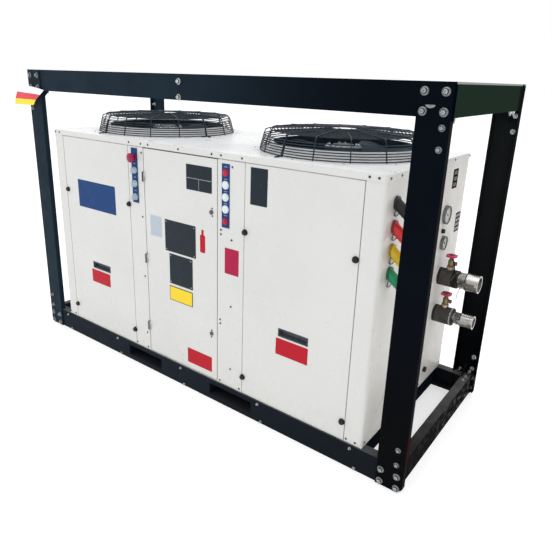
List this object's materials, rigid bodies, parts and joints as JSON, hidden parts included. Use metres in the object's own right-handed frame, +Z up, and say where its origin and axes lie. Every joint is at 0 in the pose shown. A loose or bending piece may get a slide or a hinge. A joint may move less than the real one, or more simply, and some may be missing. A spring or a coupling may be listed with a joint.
{
  "type": "air cooled water chiller",
  "caption": "Air cooled water chiller: white cabinet with two roof fans, water couplings and power inlets, in a black fork-lift frame.",
  "frame": {"origin": "middle of the frame's footprint at floor level", "axes": "+X along the long side towards the water end, -Y the service front with the electrical door, +Z up"},
  "size_m": [2.34, 0.908, 1.5],
  "materials": {
    "frame_black": "satin black paint, scuffed and dusty",
    "cabinet_white": "semi gloss off white powder coat",
    "coil_fins": "matt",
    "black_plastic": "matt",
    "zinc": "zinc plated",
    "hub_metal": "cast, dull",
    "strip_blue": "printed",
    "red_plastic": "gloss",
    "grey_plastic": "gloss",
    "white_plastic": "gloss",
    "guard_wire": "black coated wire",
    "fan_black": "matt",
    "sleeve_black": "matt",
    "sleeve_red": "matt",
    "sleeve_yellow": "matt",
    "sleeve_green": "matt",
    "gauge_case": "satin",
    "insulation": "foam rubber",
    "brass": "cast",
    "wheel_red": "gloss"
  },
  "bodies": {
    "unit": {"front_posts": "frame_black", "rear_posts": "frame_black", "top_beam_front": "frame_black", "top_beam_rear": "frame_black", "top_cross_beams": "frame_black", "base_beam_front": "frame_black", "base_beam_rear": "frame_black", "base_end_beams": "frame_black", "base_cross_members": "frame_black", "fork_pockets": "frame_black", "corner_gussets": "frame_black", "floor_tray": "cabinet_white", "roof_panel": "cabinet_white", "front_panel_left": "cabinet_white", "front_panel_right": "cabinet_white", "front_strips": "cabinet_white", "front_uprights": "cabinet_white", "end_panel_left": "cabinet_white", "end_panel_right": "cabinet_white", "rear_mullion": "cabinet_white", "condenser_coils": "coil_fins", "electrical_enclosure": "cabinet_white", "hinge_leaves": "black_plastic", "panel_knobs": "black_plastic", "panel_grips": "black_plastic", "control_strips": "strip_blue", "main_switch": "red_plastic", "selector_knobs": "grey_plastic", "red_lamps": "red_plastic", "white_lamps": "white_plastic", "fan_collars": "cabinet_white", "fan_guard_left": "guard_wire", "fan_guard_right": "guard_wire", "fan_guard_sides": "guard_wire", "fan_motors": "hub_metal", "power_inlet_flanges": "black_plastic", "power_inlet_black": "sleeve_black", "power_inlet_red": "sleeve_red", "power_inlet_yellow": "sleeve_yellow", "power_inlet_green": "sleeve_green", "gauges": "gauge_case", "water_stubs": "insulation", "couplings": "zinc", "drain_valves": "brass"},
    "door": {"electrical_door": "cabinet_white", "door_hinge_leaves": "black_plastic", "door_locks": "zinc"},
    "fan_left": {"fan_left": "fan_black", "fan_hub_left": "hub_metal"},
    "fan_right": {"fan_right": "fan_black", "fan_hub_right": "hub_metal"},
    "handwheel_upper": {"handwheel_upper": "wheel_red"},
    "handwheel_lower": {"handwheel_lower": "wheel_red"}
  },
  "joints": [
    {"name": "door_swing", "type": "hinge", "parent": "unit", "child": "door", "pos_m": [-0.254, -0.436, 0.64], "axis": [0, 0, -1], "range_deg": [0, 110]},
    {"name": "fan_left_spin", "type": "hinge", "parent": "unit", "child": "fan_left", "pos_m": [-0.56, 0.012, 1.19], "axis": [0, 0, 1], "continuous": true},
    {"name": "fan_right_spin", "type": "hinge", "parent": "unit", "child": "fan_right", "pos_m": [0.56, 0.012, 1.19], "axis": [0, 0, 1], "continuous": true},
    {"name": "handwheel_upper_turn", "type": "hinge", "parent": "unit", "child": "handwheel_upper", "pos_m": [1.031, 0.228, 0.761], "axis": [0, 0, 1], "range_deg": [0, 720]},
    {"name": "handwheel_lower_turn", "type": "hinge", "parent": "unit", "child": "handwheel_lower", "pos_m": [1.031, 0.228, 0.578], "axis": [0, 0, 1], "range_deg": [0, 720]}
  ]
}
